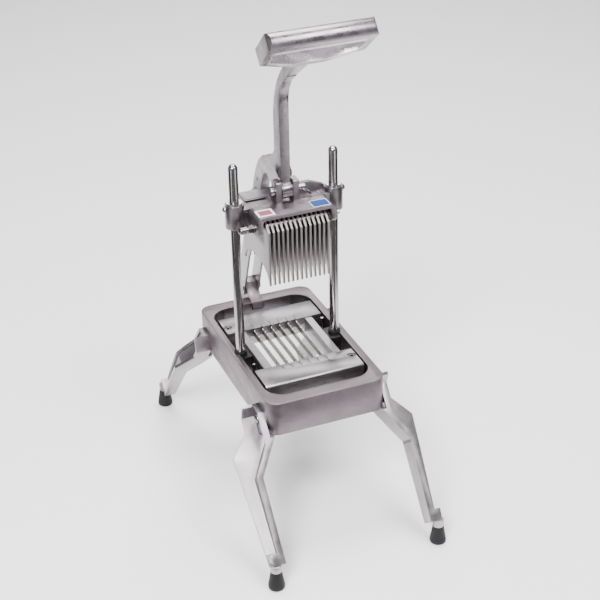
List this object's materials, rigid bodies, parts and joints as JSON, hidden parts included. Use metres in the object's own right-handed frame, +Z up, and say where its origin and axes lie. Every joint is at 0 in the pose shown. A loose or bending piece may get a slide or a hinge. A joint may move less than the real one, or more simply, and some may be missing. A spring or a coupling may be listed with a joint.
{
  "type": "vegetable slicer",
  "caption": "Bench-top vegetable slicer on splayed cast legs: a lever handle drives a plate pusher down two guide rods through staggered parallel blades.",
  "frame": {"origin": "on the floor, midway between the four feet", "axes": "+Z up, +X to the right of a person standing at the handle side, +Y away from that person"},
  "size_m": [0.26, 0.49, 0.7086],
  "materials": {
    "base_cast_aluminium": "tumbled casting, satin",
    "leg_cast_aluminium": "tumbled casting, satin",
    "carriage_cast_aluminium": "tumbled casting, satin",
    "handle_cast_aluminium": "polished casting",
    "polished_rod_steel": "polished stainless steel",
    "fastener_steel": "bright stainless steel",
    "bumper_rubber": "matt black rubber",
    "foot_rubber": "matt black rubber",
    "machined_aluminium": "machined, satin",
    "blade_steel": "ground stainless steel",
    "bushing_metal": "turned, bright",
    "pusher_plate_metal": "satin plate",
    "link_steel": "brushed stainless strip"
  },
  "bodies": {
    "base": {"base_casting": "base_cast_aluminium", "guide_rod_left": "polished_rod_steel", "guide_rod_right": "polished_rod_steel", "rod_nuts": "fastener_steel", "bumper_left": "bumper_rubber", "bumper_right": "bumper_rubber", "rear_pivot_pin": "fastener_steel", "leg_front_left": "leg_cast_aluminium", "leg_front_right": "leg_cast_aluminium", "leg_rear_left": "leg_cast_aluminium", "leg_rear_right": "leg_cast_aluminium", "leg_bolts": "fastener_steel", "foot_front_left": "foot_rubber", "foot_front_right": "foot_rubber", "foot_rear_left": "foot_rubber", "foot_rear_right": "foot_rubber", "blade_block_front": "machined_aluminium", "blade_block_rear": "machined_aluminium", "blade_rail_left": "machined_aluminium", "blade_rail_right": "machined_aluminium", "upper_blades": "blade_steel", "lower_blades": "blade_steel", "blade_retaining_rods": "fastener_steel", "block_screws": "fastener_steel", "locating_studs": "fastener_steel"},
    "carriage": {"carriage_casting": "carriage_cast_aluminium", "bushing_left": "bushing_metal", "bushing_right": "bushing_metal", "bushing_screws": "fastener_steel", "release_pin": "fastener_steel", "thumbscrew_left": "fastener_steel", "thumbscrew_right": "fastener_steel", "front_tie_rod": "fastener_steel", "rear_tie_rod": "fastener_steel", "rear_tie_nuts": "fastener_steel", "pusher_spacers": "bushing_metal", "pusher_plate_01": "pusher_plate_metal", "pusher_plate_02": "pusher_plate_metal", "pusher_plate_03": "pusher_plate_metal", "pusher_plate_04": "pusher_plate_metal", "pusher_plate_05": "pusher_plate_metal", "pusher_plate_06": "pusher_plate_metal", "pusher_plate_07": "pusher_plate_metal", "pusher_plate_08": "pusher_plate_metal", "pusher_plate_09": "pusher_plate_metal", "pusher_plate_10": "pusher_plate_metal", "pusher_plate_11": "pusher_plate_metal", "pusher_plate_12": "pusher_plate_metal", "pusher_plate_13": "pusher_plate_metal", "pusher_plate_14": "pusher_plate_metal"},
    "pull_ring": {"pull_ring": "fastener_steel"},
    "handle": {"handle": "handle_cast_aluminium", "handle_rear_bush": "bushing_metal"},
    "links": {"link_left": "link_steel", "link_right": "link_steel", "link_bolts": "fastener_steel"}
  },
  "joints": [
    {"name": "carriage_slide", "type": "slide", "parent": "base", "child": "carriage", "axis": [0, 0, -1], "range_m": [0, 0.172]},
    {"name": "handle_pivot", "type": "hinge", "parent": "carriage", "child": "handle", "pos_m": [0, 0, 0.446], "axis": [1, 0, 0], "range_deg": [0, 93.2]},
    {"name": "link_pivot", "type": "hinge", "parent": "base", "child": "links", "pos_m": [0, 0.156, 0.224], "axis": [1, 0, 0], "range_deg": [0, 16.9]},
    {"name": "ring_swing", "type": "hinge", "parent": "carriage", "child": "pull_ring", "pos_m": [0.022, 0, 0.446], "axis": [0, -1, 0], "range_deg": [0, 95]}
  ],
  "couplings": [
    {"joint": "handle_pivot", "follows": "carriage_slide", "rad_per_m": 9.4039},
    {"joint": "link_pivot", "follows": "carriage_slide", "rad_per_m": 1.6626}
  ]
}
